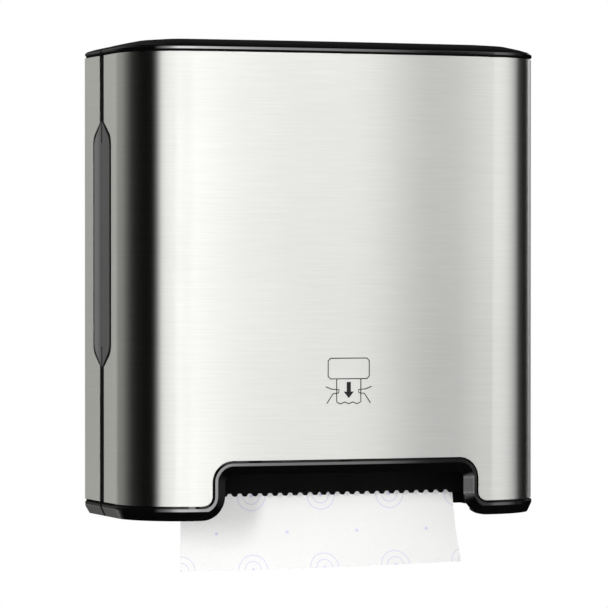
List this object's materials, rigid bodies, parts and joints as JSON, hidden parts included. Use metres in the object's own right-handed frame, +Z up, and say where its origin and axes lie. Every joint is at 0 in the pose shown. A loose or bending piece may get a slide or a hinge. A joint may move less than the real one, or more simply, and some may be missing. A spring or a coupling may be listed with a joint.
{
  "type": "paper towel dispenser",
  "caption": "Wall-hung roll towel dispenser: brushed steel cover hinged on a black casing, with smoked side windows, a feed drum and a toothed tear bar over the towel notch.",
  "frame": {"origin": "middle of the wall face, on the wall plane, within a millimetre of half the case's height", "axes": "+X to the right seen from the front, +Y into the wall, +Z up"},
  "size_m": [0.3514, 0.132, 0.4151],
  "materials": {
    "brushed_steel": "fine horizontal brushing",
    "gloss_black": "polished moulded plastic",
    "casing_black": "fine spark-eroded texture",
    "smoked_window": "smoked, nearly opaque",
    "mechanism_grey": "moulded acetal",
    "rubber": "moulded rubber",
    "shaft_steel": "ground bar",
    "zinc": "zinc-plated steel",
    "lock_metal": "satin nickel",
    "feed_wheel_grey": "moulded, blue-grey",
    "paper": "soft embossed tissue with a pale print",
    "cardboard": "spiral-wound grey-brown board"
  },
  "bodies": {
    "casing": {"rear_casing": "casing_black", "rear_side_panel_left": "brushed_steel", "rear_side_panel_right": "brushed_steel", "rear_top_cap": "gloss_black", "rear_bottom_trim": "gloss_black", "rear_window_left": "smoked_window", "rear_window_right": "smoked_window", "hinge_pin_left": "shaft_steel", "hinge_pin_right": "shaft_steel", "lock_strike": "casing_black", "strike_screws": "zinc", "cheek_left": "casing_black", "cheek_right": "casing_black", "cheek_screws": "zinc", "drum_bush_left": "mechanism_grey", "drum_bush_right": "mechanism_grey", "chute_panel": "casing_black", "tear_bar": "gloss_black", "tear_bar_screws": "zinc", "pinch_pivot_rod": "shaft_steel", "pinch_springs": "shaft_steel", "roll_arm_left": "casing_black", "roll_arm_right": "casing_black", "arm_screws": "zinc", "roll_hub": "mechanism_grey", "towel_tail": "paper", "plunger_spring": "shaft_steel"},
    "cover": {"front_panel": "brushed_steel", "cover_frame": "casing_black", "cover_top_cap": "gloss_black", "cover_bottom_trim": "gloss_black", "cover_window_left": "smoked_window", "cover_window_right": "smoked_window", "lock_housing": "casing_black"},
    "lock": {"lock_barrel": "lock_metal", "lock_cam": "zinc", "cam_screw": "zinc"},
    "drum": {"feed_drum": "mechanism_grey", "drum_grip_rings": "rubber", "drum_shaft": "shaft_steel", "shaft_clip": "zinc", "feed_wheel": "feed_wheel_grey"},
    "pinch_yoke": {"pinch_arm_left": "mechanism_grey", "pinch_arm_right": "mechanism_grey", "pinch_tie_bar": "shaft_steel"},
    "pinch_roller": {"pinch_shaft": "shaft_steel", "pinch_sleeves": "rubber"},
    "roll": {"paper_roll": "paper", "roll_core": "cardboard"},
    "hub": {"hub_plunger": "mechanism_grey", "plunger_knob": "feed_wheel_grey"}
  },
  "joints": [
    {"name": "cover_hinge", "type": "hinge", "parent": "casing", "child": "cover", "pos_m": [0, -0.02, -0.1815], "axis": [1, 0, 0], "range_deg": [0, 90]},
    {"name": "lock_turn", "type": "hinge", "parent": "cover", "child": "lock", "pos_m": [0, -0.07, 0.165], "axis": [0, 0, -1], "range_deg": [0, 90]},
    {"name": "drum_turn", "type": "hinge", "parent": "casing", "child": "drum", "pos_m": [0, -0.038, -0.118], "axis": [1, 0, 0], "continuous": true},
    {"name": "pinch_swing", "type": "hinge", "parent": "casing", "child": "pinch_yoke", "pos_m": [0, -0.07, -0.08], "axis": [-1, 0, 0], "range_deg": [0, 12], "stiffness_Nm_per_rad": 0.8, "springref_deg": -14.32, "deforming": ["pinch_springs"]},
    {"name": "pinch_spin", "type": "hinge", "parent": "pinch_yoke", "child": "pinch_roller", "pos_m": [0, -0.07409, -0.10609], "axis": [1, 0, 0], "continuous": true},
    {"name": "roll_spin", "type": "hinge", "parent": "casing", "child": "roll", "pos_m": [0, -0.066, 0.062], "axis": [1, 0, 0], "continuous": true},
    {"name": "hub_release", "type": "slide", "parent": "casing", "child": "hub", "axis": [1, 0, 0], "range_m": [0, 0.014], "stiffness_N_per_m": 350, "springref_m": -0.008, "deforming": ["plunger_spring"]}
  ],
  "couplings": [
    {"joint": "pinch_spin", "follows": "drum_turn", "ratio": -3.1111},
    {"joint": "roll_spin", "follows": "drum_turn", "ratio": -0.51852}
  ]
}
